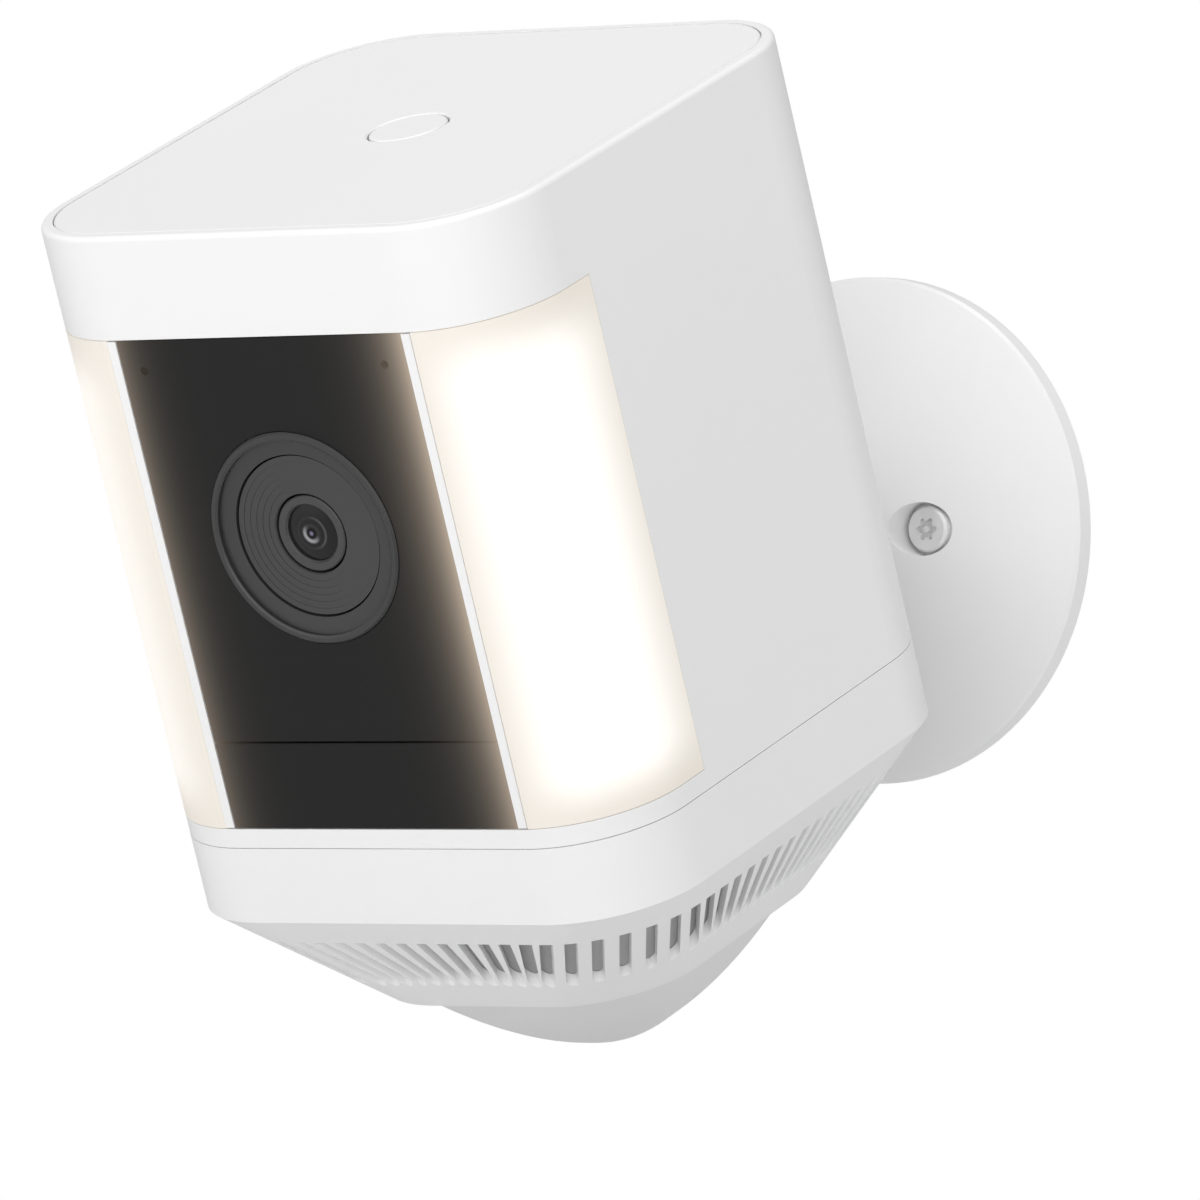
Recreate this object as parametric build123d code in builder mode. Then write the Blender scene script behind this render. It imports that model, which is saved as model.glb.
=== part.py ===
from build123d import *
import os
from math import atan2, cos, degrees, hypot, pi, sin, sqrt

os.makedirs("parts", exist_ok=True)

# Floodlight security camera on a ball mount. Millimetres.
#
# Row frame: origin at the centre of the wall plate's back, +Y into the wall, +Z up.
# Head frame: origin on the head's centre line at the seam, front face at -HEAD_D / 2.
# Head pieces are made upright in the head frame and tilted about the ball at the end.

# ---------------------------------------------------------------- driving dimensions
HEAD_W = 76.0
HEAD_D = 80.0
HEAD_R = 15.0
WALL = 2.2
TOP_Z = 83.3
PANEL_TOP = 69.5
PANEL_BOTTOM = 2.6
PANEL_W = 45.1
SPLIT_Z = 14.5
STRIP_OUT = 23.9
DIFFUSER_END_Y = -19.6
TAPER_TOP_Z = -10.4
TAPER_BOTTOM_Z = -27.9
TAPER_INSET = 14.4
TAPER_R = 14.2
DOME_Z = -42.6
DOME_LIP = 2.2
LENS_Z = 42.4
LENS_R = 14.3
BUTTON_R = 5.2

PITCH = 21.0
BALL_R = 8.5
BALL_OUT = 36.0
BALL_Y = 46.5
BALL_Z = 10.2
FIT = 0.07

PLATE_R = 34.2
PLATE_RIM = 3.0
PLATE_SLOPE = 0.664
PLATE_WALL = 2.9
HUB_R = 9.0
SCREW_PCD = 33.0
SCREW_COUNT = 4
SCREW_R = 1.75
SHANK_R = 1.95
SCREW_HEAD_R = 3.1
SCREW_HEAD_H = 1.3
SCREW_SEAT_Y = -11.7
SCREW_REACH = 22.0

PACK_W = 25.0
PACK_D = 43.0
PACK_H = 69.0
PACK_X = 13.7
PACK_Y = 12.0
PACK_BOTTOM = -8.6

# ---------------------------------------------------------------- worked-out sizes
FRONT_Y = -HEAD_D / 2
BACK_Y = HEAD_D / 2
INNER_W = HEAD_W - 2 * WALL
INNER_D = HEAD_D - 2 * WALL
INNER_R = HEAD_R - WALL
INNER_FRONT = FRONT_Y + WALL
INNER_BACK = BACK_Y - WALL
ROOF_Z = TOP_Z - 4.0
LID_Z = TOP_Z - 2.0
GAP = 0.1
PLATE_BACK_Y = INNER_FRONT + 0.3
FRAME_BACK_Y = PLATE_BACK_Y + 1.8
BAY_FRONT = -11.4
BAY_X = 28.0
BAY_WALL = 1.4
BAY_TOP = 63.4
LINER_R = BALL_R + FIT + 1.4
CUP_R = LINER_R + FIT
CUP_BOTTOM = -12.0
CUP_RIM = -0.8
SPIGOT_R = 8.8
CUP_OUT_R = 11.6
FLANGE_Y = BACK_Y - BALL_Y
NUT_FACE = INNER_BACK - BALL_Y
RING_R = 13.4
RING_MOUTH = 2.8
DOME_DROP = TAPER_BOTTOM_Z - DOME_Z
POST_X = 20.4
POST_Z = (18.5, 59.5)
HOLE_X = 19.0
HOLE_Z = 65.3
LED_STEP = 12.0
LED_COUNT = 5
PANEL_MID = (PANEL_TOP + PANEL_BOTTOM) / 2
FLOOR_SCREWS = ((32.9, 27.5), (-32.9, 27.5), (33.2, -12), (-33.2, -12))

AXIS_BALL = Axis((0, BALL_Y, BALL_Z), (0, 1, 0))
BALL_PLANE = Plane((0, BALL_Y, BALL_Z), x_dir=(1, 0, 0), z_dir=(0, 0, 1))
LENS_PLANE = Plane((0, 0, LENS_Z), x_dir=(1, 0, 0), z_dir=(0, 0, 1))
AXIS_LENS = Axis((0, 0, LENS_Z), (0, 1, 0))
CORNER = Plane((27.8, -27.8, PANEL_MID), x_dir=(0, 0, 1), z_dir=(1, -1, 0))

wall_side = []
head_side = []


def keep(piece, label, group):
    """Name a finished piece and put it in its group."""
    piece.part.label = label
    group.append(piece)


def facing(y):
    """A plane at depth y whose normal points out of the front, with x to the right and z up."""
    return Plane((0, y, 0), x_dir=(1, 0, 0), z_dir=(0, -1, 0))


def lens_facing(y):
    """The same kind of plane, centred on the lens."""
    return Plane((0, y, LENS_Z), x_dir=(1, 0, 0), z_dir=(0, -1, 0))


def twin(piece):
    """The mirror image of a right-hand piece."""
    with BuildPart() as left:
        mirror(piece.part, about=Plane.YZ)
    return left


def turned(points, plane, axis):
    """A solid of revolution about an axis, from a closed outline of (radius, height) points."""
    with BuildPart() as solid:
        with BuildSketch(plane):
            with BuildLine():
                Polyline(*points, close=True)
            make_face()
        revolve(axis=axis)
    return solid.part


# ================================================================ wall plate and ball
def cone_y(radius):
    """Front surface of the wall plate at a radius."""
    return -(PLATE_RIM + PLATE_SLOPE * (PLATE_R - 0.4 - radius))


HUB_Y = cone_y(HUB_R)
SPIGOT_END = -11.2
BOLT_SEAT = -7.0

with BuildPart() as plate_hollow:
    with BuildSketch(Plane.XY):
        with BuildLine():
            Polyline(
                (HUB_R, 0),
                (PLATE_R - 2.4, 0),
                (PLATE_R - 2.4, cone_y(PLATE_R - 2.4) + PLATE_WALL),
                (HUB_R, HUB_Y + PLATE_WALL),
                close=True,
            )
        make_face()
    revolve(axis=Axis.Y)
    with BuildSketch(Plane.XZ):
        with PolarLocations(SCREW_PCD / 2, SCREW_COUNT):
            Circle(SCREW_HEAD_R + 1.7)
    extrude(amount=30.0, mode=Mode.SUBTRACT)

with BuildPart() as wall_plate:
    with BuildSketch(Plane.XY):
        with BuildLine():
            Polyline(
                (0, 0),
                (PLATE_R, 0),
                (PLATE_R, -PLATE_RIM + 0.5),
                (PLATE_R - 0.4, -PLATE_RIM),
                (HUB_R, HUB_Y),
                (0, HUB_Y),
                close=True,
            )
        make_face()
    revolve(axis=Axis.Y)
    add(plate_hollow.part, mode=Mode.SUBTRACT)
    for index in range(4):
        rib_plane = Plane.XY.rotated((0, 45 + 90 * index, 0))
        with BuildSketch(rib_plane):
            with BuildLine():
                Polyline(
                    (HUB_R - 0.5, -1.2),
                    (PLATE_R - 2.6, -1.2),
                    (PLATE_R - 2.6, cone_y(PLATE_R - 2.6) + 1.4),
                    (HUB_R - 0.5, HUB_Y + 1.4),
                    close=True,
                )
            make_face()
        extrude(amount=0.8, both=True)
    with BuildSketch(Plane.XZ.offset(-SCREW_SEAT_Y)):
        with PolarLocations(SCREW_PCD / 2, SCREW_COUNT):
            Circle(SCREW_HEAD_R + 0.5)
    extrude(amount=12.0, mode=Mode.SUBTRACT)
    with BuildSketch(Plane.XZ):
        with PolarLocations(SCREW_PCD / 2, SCREW_COUNT):
            Circle(SHANK_R + 0.25)
    extrude(amount=12.0, mode=Mode.SUBTRACT)
    with BuildSketch(Plane.XZ):
        Circle(5.5)
    extrude(amount=-BOLT_SEAT, mode=Mode.SUBTRACT)
    with BuildSketch(Plane.XZ):
        Circle(2.7)
    extrude(amount=24.0, mode=Mode.SUBTRACT)
    with BuildSketch(Plane.XZ.offset(-SPIGOT_END - 0.1)):
        Circle(5.35)
    extrude(amount=12.0, mode=Mode.SUBTRACT)
keep(wall_plate, "wall_plate", wall_side)

with BuildPart() as wall_screws:
    with BuildSketch(Plane.XZ.offset(-SCREW_SEAT_Y)):
        with PolarLocations(SCREW_PCD / 2, SCREW_COUNT):
            Circle(SCREW_HEAD_R)
    extrude(amount=SCREW_HEAD_H)
    chamfer(wall_screws.faces().sort_by(Axis.Y)[:SCREW_COUNT].edges(), 0.3)
    with BuildSketch(Plane.XZ.offset(-SCREW_SEAT_Y)):
        with PolarLocations(SCREW_PCD / 2, SCREW_COUNT):
            Circle(SHANK_R)
    extrude(amount=SCREW_SEAT_Y)
    with BuildSketch(Plane.XZ):
        with PolarLocations(SCREW_PCD / 2, SCREW_COUNT):
            Circle(SCREW_R)
    extrude(amount=-SCREW_REACH)
    chamfer(wall_screws.faces().sort_by(Axis.Y)[-SCREW_COUNT:].edges(), 1.2)
    with BuildSketch(Plane.XZ.offset(SCREW_HEAD_H - SCREW_SEAT_Y)):
        with PolarLocations(SCREW_PCD / 2, SCREW_COUNT):
            Circle(1.15)
            with PolarLocations(1.2, 6):
                Circle(0.42)
            Circle(0.45, mode=Mode.SUBTRACT)
    extrude(amount=-0.8, mode=Mode.SUBTRACT)
keep(wall_screws, "wall_screws", wall_side)

NECK_R = 4.2
with BuildPart() as ball_stud:
    with BuildSketch(Plane.XY):
        with BuildLine():
            tip = (0, -BALL_OUT - BALL_R)
            join_y = -BALL_OUT + sqrt(BALL_R**2 - NECK_R**2)
            ThreePointArc(tip, (BALL_R, -BALL_OUT), (NECK_R, join_y))
            Line((NECK_R, join_y), (NECK_R, -26.2))
            Spline(
                (NECK_R, -26.2),
                (5.2, -22.6),
                (8.6, HUB_Y - 1.1),
                tangents=((0, 1), (1, 0.62)),
            )
            Polyline(
                (8.6, HUB_Y - 1.1),
                (8.6, HUB_Y - 0.05),
                (5.3, HUB_Y - 0.05),
                (5.3, SPIGOT_END),
                (0, SPIGOT_END),
                tip,
            )
        make_face()
    revolve(axis=Axis.Y)
    with BuildSketch(Plane.XZ.offset(-SPIGOT_END)):
        Circle(2.5)
    extrude(amount=12.0, mode=Mode.SUBTRACT)
keep(ball_stud, "ball_stud", wall_side)

with BuildPart() as stud_bolt:
    with BuildSketch(Plane.XZ.offset(1.6)):
        Circle(4.6)
    extrude(amount=-BOLT_SEAT - 1.6)
    with BuildSketch(Plane.XZ.offset(-BOLT_SEAT)):
        Circle(2.45)
    extrude(amount=14.5)
    with BuildSketch(Plane.XZ.offset(1.6)):
        RegularPolygon(2.3, 6)
    extrude(amount=2.6, mode=Mode.SUBTRACT)
keep(stud_bolt, "stud_bolt", wall_side)

with BuildPart() as socket_liner:
    with Locations((0, -BALL_OUT, 0)):
        Sphere(LINER_R)
        Sphere(BALL_R + FIT, mode=Mode.SUBTRACT)
    with Locations((0, -BALL_OUT + 1.6 + LINER_R, 0)):
        Box(3 * LINER_R, 2 * LINER_R, 3 * LINER_R, mode=Mode.SUBTRACT)
keep(socket_liner, "socket_liner", wall_side)

# ================================================================ socket on the head
with BuildPart() as socket_cup:
    add(
        turned(
            [
                (0, CUP_BOTTOM),
                (SPIGOT_R, CUP_BOTTOM),
                (SPIGOT_R, FLANGE_Y),
                (CUP_OUT_R, FLANGE_Y),
                (CUP_OUT_R, CUP_RIM),
                (0, CUP_RIM),
            ],
            BALL_PLANE,
            AXIS_BALL,
        )
    )
    with Locations((0, BALL_Y, BALL_Z)):
        Sphere(CUP_R, mode=Mode.SUBTRACT)
keep(socket_cup, "socket_cup", head_side)

with BuildPart() as socket_nut:
    add(
        turned(
            [
                (SPIGOT_R + 0.02, NUT_FACE - 1.8),
                (12.5, NUT_FACE - 1.8),
                (12.5, NUT_FACE),
                (SPIGOT_R + 0.02, NUT_FACE),
            ],
            BALL_PLANE,
            AXIS_BALL,
        )
    )
    with Locations((0, BALL_Y + NUT_FACE, 2.0 - 10)):
        Box(40, 10, 20, mode=Mode.SUBTRACT)
keep(socket_nut, "socket_nut", head_side)

with BuildPart() as clamp_ring:
    add(
        turned(
            [
                (CUP_OUT_R + FIT, -5.8),
                (RING_R, -5.8),
                (RING_R, RING_MOUTH - 0.8),
                (RING_R - 0.8, RING_MOUTH),
                (0, RING_MOUTH),
                (0, CUP_RIM + GAP),
                (CUP_OUT_R + FIT, CUP_RIM + GAP),
            ],
            BALL_PLANE,
            AXIS_BALL,
        )
    )
    with Locations((0, BALL_Y, BALL_Z)):
        Sphere(CUP_R, mode=Mode.SUBTRACT)
    with BuildSketch(Plane((0, BALL_Y - 5.8, BALL_Z), x_dir=(1, 0, 0), z_dir=(0, 1, 0))):
        with PolarLocations(RING_R + 0.2, 24):
            Circle(0.8)
    extrude(amount=5.8 + RING_MOUTH - 2.0, mode=Mode.SUBTRACT)
keep(clamp_ring, "clamp_ring", head_side)

# ================================================================ housing
with BuildPart() as housing_shell:
    with BuildSketch(Plane.XY):
        RectangleRounded(HEAD_W, HEAD_D, HEAD_R)
    extrude(amount=TOP_Z)
    fillet(housing_shell.faces().sort_by(Axis.Z)[-1].edges(), 0.7)
    with BuildSketch(Plane.XY):
        RectangleRounded(INNER_W, INNER_D, INNER_R)
    extrude(amount=ROOF_Z, mode=Mode.SUBTRACT)
    with BuildSketch(Plane.XY.offset(LID_Z)):
        RectangleRounded(HEAD_W - 3.2, HEAD_D - 3.2, HEAD_R - 1.6)
    extrude(amount=4.0, mode=Mode.SUBTRACT)
    with BuildSketch(Plane.XY.offset(ROOF_Z)):
        Circle(BUTTON_R + 1.7)
    extrude(amount=4.0, mode=Mode.SUBTRACT)
    with BuildSketch(Plane.XY.offset(PANEL_BOTTOM)):
        with Locations((0, (FRONT_Y + DIFFUSER_END_Y) / 2 - 1)):
            Rectangle(HEAD_W + 4, DIFFUSER_END_Y - FRONT_Y + 2)
    extrude(amount=PANEL_TOP - PANEL_BOTTOM, mode=Mode.SUBTRACT)
    with BuildSketch(Plane.XY.offset(75.8)):
        with GridLocations(16, 12, 2, 2):
            Circle(1.5)
    extrude(amount=ROOF_Z - 75.8)
    with BuildSketch(Plane.XY.offset(1.8)):
        with Locations(*FLOOR_SCREWS):
            Circle(2.9)
    extrude(amount=12.0)
    with BuildSketch(Plane.XY.offset(1.8)):
        with Locations(*FLOOR_SCREWS):
            Circle(1.0)
    extrude(amount=9.0, mode=Mode.SUBTRACT)
    with BuildSketch(Plane((0, BACK_Y, BALL_Z), x_dir=(1, 0, 0), z_dir=(0, -1, 0))):
        Circle(SPIGOT_R + 0.03)
    extrude(amount=WALL, mode=Mode.SUBTRACT)
keep(housing_shell, "housing_shell", head_side)

with BuildPart() as top_plate:
    with BuildSketch(Plane.XY.offset(LID_Z)):
        RectangleRounded(HEAD_W - 3.5, HEAD_D - 3.5, HEAD_R - 1.75)
        Circle(BUTTON_R + 0.28, mode=Mode.SUBTRACT)
    extrude(amount=TOP_Z - LID_Z)
    chamfer(top_plate.faces().sort_by(Axis.Z)[-1].edges(), 0.2)
keep(top_plate, "top_plate", head_side)

with BuildPart() as setup_button:
    with BuildSketch(Plane.XY.offset(LID_Z - 0.2)):
        Circle(BUTTON_R)
    extrude(amount=TOP_Z - LID_Z + 0.2)
    fillet(setup_button.faces().sort_by(Axis.Z)[-1].edges(), 0.35)
    with BuildSketch(Plane.XY.offset(LID_Z - 1.3)):
        Circle(BUTTON_R + 1.2)
    extrude(amount=1.1)
    with BuildSketch(Plane.XY.offset(78.8)):
        Circle(1.9)
    extrude(amount=LID_Z - 1.3 - 78.8)
keep(setup_button, "setup_button", head_side)

with BuildPart() as button_seal:
    with BuildSketch(Plane.XY.offset(ROOF_Z - 0.9)):
        Circle(8.2)
        Circle(2.3, mode=Mode.SUBTRACT)
        with GridLocations(16, 12, 2, 2):
            Circle(1.6, mode=Mode.SUBTRACT)
    extrude(amount=0.9)
keep(button_seal, "button_seal", head_side)

with BuildPart() as button_board:
    with BuildSketch(Plane.XY.offset(74.6)):
        RectangleRounded(20, 16, 1.0)
    extrude(amount=1.2)
keep(button_board, "button_board", head_side)

with BuildPart() as button_switch:
    with BuildSketch(Plane.XY.offset(75.8)):
        Rectangle(6, 6)
    extrude(amount=1.4)
    with BuildSketch(Plane.XY.offset(77.2)):
        Circle(1.5)
    extrude(amount=0.8)
keep(button_switch, "button_switch", head_side)

# ================================================================ front
with BuildPart() as front_frame:
    with BuildSketch(facing(FRAME_BACK_Y)):
        with Locations((0, PANEL_MID)):
            Rectangle(2 * STRIP_OUT, PANEL_TOP - PANEL_BOTTOM - 0.4)
        with Locations((0, LENS_Z)):
            Circle(11.2, mode=Mode.SUBTRACT)
        with Locations((-14, 8.6), (0, 8.6), (14, 8.6)):
            Rectangle(9.6, 9.0, mode=Mode.SUBTRACT)
        with Locations((-HOLE_X, HOLE_Z), (HOLE_X, HOLE_Z)):
            Circle(1.9, mode=Mode.SUBTRACT)
        with Locations(*[(x, z) for x in (-POST_X, POST_X) for z in POST_Z]):
            Circle(1.3, mode=Mode.SUBTRACT)
    extrude(amount=FRAME_BACK_Y - PLATE_BACK_Y)
    with BuildSketch(facing(PLATE_BACK_Y)):
        with Locations(*[(x, z) for x in (-POST_X, POST_X) for z in POST_Z]):
            Circle(2.3)
    extrude(amount=-1.2, mode=Mode.SUBTRACT)
    with BuildSketch(facing(PLATE_BACK_Y)):
        strip_w = STRIP_OUT - PANEL_W / 2 - 0.05
        for side in (-1, 1):
            with Locations((side * (STRIP_OUT - strip_w / 2), PANEL_MID)):
                Rectangle(strip_w, PANEL_TOP - PANEL_BOTTOM - 0.4)
    extrude(amount=PLATE_BACK_Y - FRONT_Y)
keep(front_frame, "front_frame", head_side)

with BuildPart() as frame_screws:
    with BuildSketch(facing(PLATE_BACK_Y + 0.1)):
        with Locations(*[(x, z) for x in (-POST_X, POST_X) for z in POST_Z]):
            Circle(2.1)
    extrude(amount=-1.1)
    with BuildSketch(facing(PLATE_BACK_Y + 1.2)):
        with Locations(*[(x, z) for x in (-POST_X, POST_X) for z in POST_Z]):
            Circle(1.0)
    extrude(amount=-8.0)
    with BuildSketch(facing(PLATE_BACK_Y + 0.1)):
        with Locations(*[(x, z) for x in (-POST_X, POST_X) for z in POST_Z]):
            Rectangle(2.6, 0.55)
            Rectangle(0.55, 2.6)
    extrude(amount=-0.7, mode=Mode.SUBTRACT)
keep(frame_screws, "frame_screws", head_side)

with BuildPart() as face_plate:
    with BuildSketch(facing(PLATE_BACK_Y)):
        with Locations((0, (PANEL_TOP - 0.1 + SPLIT_Z + 0.1) / 2)):
            Rectangle(PANEL_W - 0.1, PANEL_TOP - SPLIT_Z - 0.2)
        with Locations((0, LENS_Z)):
            Circle(LENS_R + 0.1, mode=Mode.SUBTRACT)
        with Locations((-HOLE_X, HOLE_Z), (HOLE_X, HOLE_Z)):
            Circle(0.6, mode=Mode.SUBTRACT)
    extrude(amount=PLATE_BACK_Y - FRONT_Y)
    chamfer(face_plate.faces().sort_by(Axis.Y)[0].outer_wire().edges(), 0.15)
keep(face_plate, "face_plate", head_side)

with BuildPart() as sensor_window:
    with BuildSketch(facing(PLATE_BACK_Y)):
        with Locations((0, (SPLIT_Z + PANEL_BOTTOM) / 2)):
            Rectangle(PANEL_W - 0.1, SPLIT_Z - PANEL_BOTTOM - 0.2)
    extrude(amount=PLATE_BACK_Y - FRONT_Y)
    chamfer(sensor_window.faces().sort_by(Axis.Y)[0].outer_wire().edges(), 0.15)
keep(sensor_window, "sensor_window", head_side)

# ================================================================ floodlights
with BuildPart() as right_diffuser:
    with BuildSketch(Plane.XY.offset(PANEL_BOTTOM + 0.1)):
        RectangleRounded(HEAD_W, HEAD_D, HEAD_R)
        RectangleRounded(INNER_W, INNER_D, INNER_R, mode=Mode.SUBTRACT)
        with Locations((STRIP_OUT + 0.1 + HEAD_W / 2, (FRONT_Y + DIFFUSER_END_Y) / 2)):
            Rectangle(HEAD_W, DIFFUSER_END_Y - FRONT_Y - 0.2, mode=Mode.INTERSECT)
    extrude(amount=PANEL_TOP - PANEL_BOTTOM - 0.2)
keep(right_diffuser, "right_diffuser", head_side)
keep(twin(right_diffuser), "left_diffuser", head_side)

with BuildPart() as right_reflector:
    with BuildSketch(Plane.XY.offset(PANEL_BOTTOM + 0.8)):
        with BuildLine():
            Polyline(
                (25.1, INNER_FRONT + 0.2),
                (25.1, -30.5),
                (30.5, -25.1),
                (35.3, -21.0),
                (35.3, -19.7),
                (29.8, -24.4),
                (24.1, -30.1),
                (24.1, INNER_FRONT + 0.2),
                close=True,
            )
        make_face()
    extrude(amount=PANEL_TOP - PANEL_BOTTOM - 1.6)
    with BuildSketch(CORNER.offset(-1.2)):
        with GridLocations(LED_STEP, 0, LED_COUNT, 1):
            Rectangle(3.4, 3.4)
    extrude(amount=3.0, mode=Mode.SUBTRACT)
keep(right_reflector, "right_reflector", head_side)
keep(twin(right_reflector), "left_reflector", head_side)

with BuildPart() as right_board:
    with BuildSketch(CORNER.offset(-2.2)):
        RectangleRounded(62, 7.4, 1.0)
    extrude(amount=1.15)
with BuildPart() as led_boards:
    add(right_board.part)
    mirror(right_board.part, about=Plane.YZ)
keep(led_boards, "led_boards", head_side)

with BuildPart() as right_leds:
    with BuildSketch(CORNER.offset(-1.05)):
        with GridLocations(LED_STEP, 0, LED_COUNT, 1):
            Rectangle(3.0, 3.0)
    extrude(amount=1.1)
with BuildPart() as spotlight_leds:
    add(right_leds.part)
    mirror(right_leds.part, about=Plane.YZ)
keep(spotlight_leds, "spotlight_leds", head_side)

with BuildPart() as right_sink:
    with BuildSketch(CORNER.offset(-3.6)):
        Rectangle(58, 6.2)
    extrude(amount=1.4)
with BuildPart() as heat_sinks:
    add(right_sink.part)
    mirror(right_sink.part, about=Plane.YZ)
keep(heat_sinks, "heat_sinks", head_side)

# ================================================================ camera
RING_FRONT_Y = FRONT_Y - 0.4
RING_STEP_R = 13.2
RING_IN = 11.0
with BuildPart() as lens_ring:
    add(
        turned(
            [
                (RING_IN, PLATE_BACK_Y),
                (LENS_R, PLATE_BACK_Y),
                (LENS_R, RING_FRONT_Y + 0.3),
                (LENS_R - 0.25, RING_FRONT_Y),
                (RING_STEP_R + 0.3, RING_FRONT_Y),
                (RING_STEP_R, RING_FRONT_Y + 0.2),
                (RING_STEP_R, FRONT_Y + 0.4),
                (RING_IN, FRONT_Y + 0.7),
            ],
            LENS_PLANE,
            AXIS_LENS,
        )
    )
keep(lens_ring, "lens_ring", head_side)

BEZEL_STEPS = 6
BEZEL_OUT = 10.75
BEZEL_IN = 5.4
BEZEL_RIM_Y = FRONT_Y + 0.95
BEZEL_DROP = 0.6
TREAD = (BEZEL_OUT - BEZEL_IN) / BEZEL_STEPS
RISE = BEZEL_DROP / BEZEL_STEPS
bezel_outline = [(BEZEL_OUT, FRAME_BACK_Y), (BEZEL_OUT, BEZEL_RIM_Y)]
for step in range(BEZEL_STEPS):
    edge_r = BEZEL_OUT - (step + 0.85) * TREAD
    edge_y = BEZEL_RIM_Y + step * RISE
    bezel_outline.append((edge_r, edge_y + 0.4 * RISE))
    bezel_outline.append((edge_r, edge_y + RISE))
bezel_outline.append((BEZEL_IN, BEZEL_RIM_Y + BEZEL_DROP))
bezel_outline.append((BEZEL_IN, FRAME_BACK_Y))
with BuildPart() as lens_bezel:
    add(turned(bezel_outline, LENS_PLANE, AXIS_LENS))
keep(lens_bezel, "lens_bezel", head_side)

BARREL_R = 5.25
BARREL_NOSE_R = 5.1
BARREL_BORE = 3.8
BARREL_BACK_Y = -21.6
NOSE_Y = FRONT_Y + 1.5
with BuildPart() as lens_barrel:
    add(
        turned(
            [
                (BARREL_BORE, NOSE_Y + 0.3),
                (BARREL_BORE + 0.25, NOSE_Y),
                (BARREL_NOSE_R - 0.15, NOSE_Y),
                (BARREL_NOSE_R, NOSE_Y + 0.15),
                (BARREL_NOSE_R, -35.0),
                (BARREL_R, -34.8),
                (BARREL_R, BARREL_BACK_Y),
                (BARREL_BORE, BARREL_BACK_Y),
            ],
            LENS_PLANE,
            AXIS_LENS,
        )
    )
keep(lens_barrel, "lens_barrel", head_side)

GLASS_R = BARREL_BORE - 0.05
GLASS_Y = -38.5
GLASS_BACK_Y = -36.0
GLASS_SAG = 0.5
GLASS_BALL_R = (GLASS_R**2 + GLASS_SAG**2) / (2 * GLASS_SAG)
with BuildPart() as front_element:
    with BuildSketch(lens_facing(GLASS_BACK_Y)):
        Circle(GLASS_R)
    extrude(amount=GLASS_BACK_Y - GLASS_Y)
    with Locations((0, GLASS_Y + GLASS_BALL_R, LENS_Z)):
        Sphere(GLASS_BALL_R, mode=Mode.INTERSECT)
keep(front_element, "front_element", head_side)

with BuildPart() as rear_elements:
    with BuildSketch(lens_facing(-24.0)):
        Circle(GLASS_R)
    extrude(amount=3.0)
    with BuildSketch(lens_facing(-29.0)):
        Circle(GLASS_R)
    extrude(amount=2.4)
keep(rear_elements, "rear_elements", head_side)

CAMERA_BOARD_Y = -20.2
with BuildPart() as lens_holder:
    with BuildSketch(lens_facing(CAMERA_BOARD_Y)):
        RectangleRounded(17, 17, 2)
    extrude(amount=10.0)
    with BuildSketch(lens_facing(CAMERA_BOARD_Y)):
        Circle(5.3)
    extrude(amount=10.0, mode=Mode.SUBTRACT)
    with BuildSketch(lens_facing(CAMERA_BOARD_Y)):
        Rectangle(11, 11)
    extrude(amount=1.3, mode=Mode.SUBTRACT)
keep(lens_holder, "lens_holder", head_side)

with BuildPart() as camera_board:
    with BuildSketch(Plane((0, CAMERA_BOARD_Y, LENS_Z), x_dir=(1, 0, 0), z_dir=(0, 1, 0))):
        RectangleRounded(30, 26, 1.5)
    extrude(amount=1.2)
keep(camera_board, "camera_board", head_side)

with BuildPart() as image_sensor:
    with BuildSketch(lens_facing(CAMERA_BOARD_Y)):
        Rectangle(9, 8)
    extrude(amount=1.0)
keep(image_sensor, "image_sensor", head_side)

IR_BOARD_Y = -33.0
with BuildPart() as infrared_board:
    with BuildSketch(lens_facing(IR_BOARD_Y)):
        Circle(10.8)
        Circle(5.6, mode=Mode.SUBTRACT)
    extrude(amount=1.0)
keep(infrared_board, "infrared_board", head_side)

with BuildPart() as infrared_leds:
    with BuildSketch(lens_facing(IR_BOARD_Y - 1.0)):
        with PolarLocations(8.2, 4, start_angle=45):
            Circle(1.4)
    extrude(amount=1.2)
keep(infrared_leds, "infrared_leds", head_side)

# ================================================================ sensors
SENSOR_BOARD_Y = -34.4
with BuildPart() as sensor_board:
    with BuildSketch(facing(SENSOR_BOARD_Y + 1.2)):
        with Locations((0, HOLE_Z)):
            RectangleRounded(43, 5.4, 1.0)
    extrude(amount=1.2)
keep(sensor_board, "sensor_board", head_side)

with BuildPart() as microphone:
    with BuildSketch(facing(SENSOR_BOARD_Y)):
        with Locations((-HOLE_X, HOLE_Z)):
            Rectangle(3.6, 2.8)
    extrude(amount=1.2)
keep(microphone, "microphone", head_side)

with BuildPart() as microphone_gasket:
    with BuildSketch(facing(SENSOR_BOARD_Y - 1.2)):
        with Locations((-HOLE_X, HOLE_Z)):
            Circle(1.8)
            Circle(0.7, mode=Mode.SUBTRACT)
    extrude(amount=-PLATE_BACK_Y + SENSOR_BOARD_Y - 1.2)
keep(microphone_gasket, "microphone_gasket", head_side)

with BuildPart() as light_sensor:
    with BuildSketch(facing(SENSOR_BOARD_Y)):
        with Locations((HOLE_X, HOLE_Z)):
            Rectangle(2.4, 2.0)
    extrude(amount=2.6)
keep(light_sensor, "light_sensor", head_side)

with BuildPart() as motion_board:
    with BuildSketch(facing(-30.2)):
        with Locations((0, 8.6)):
            RectangleRounded(40, 10.4, 1.0)
    extrude(amount=1.2)
keep(motion_board, "motion_board", head_side)

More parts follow.
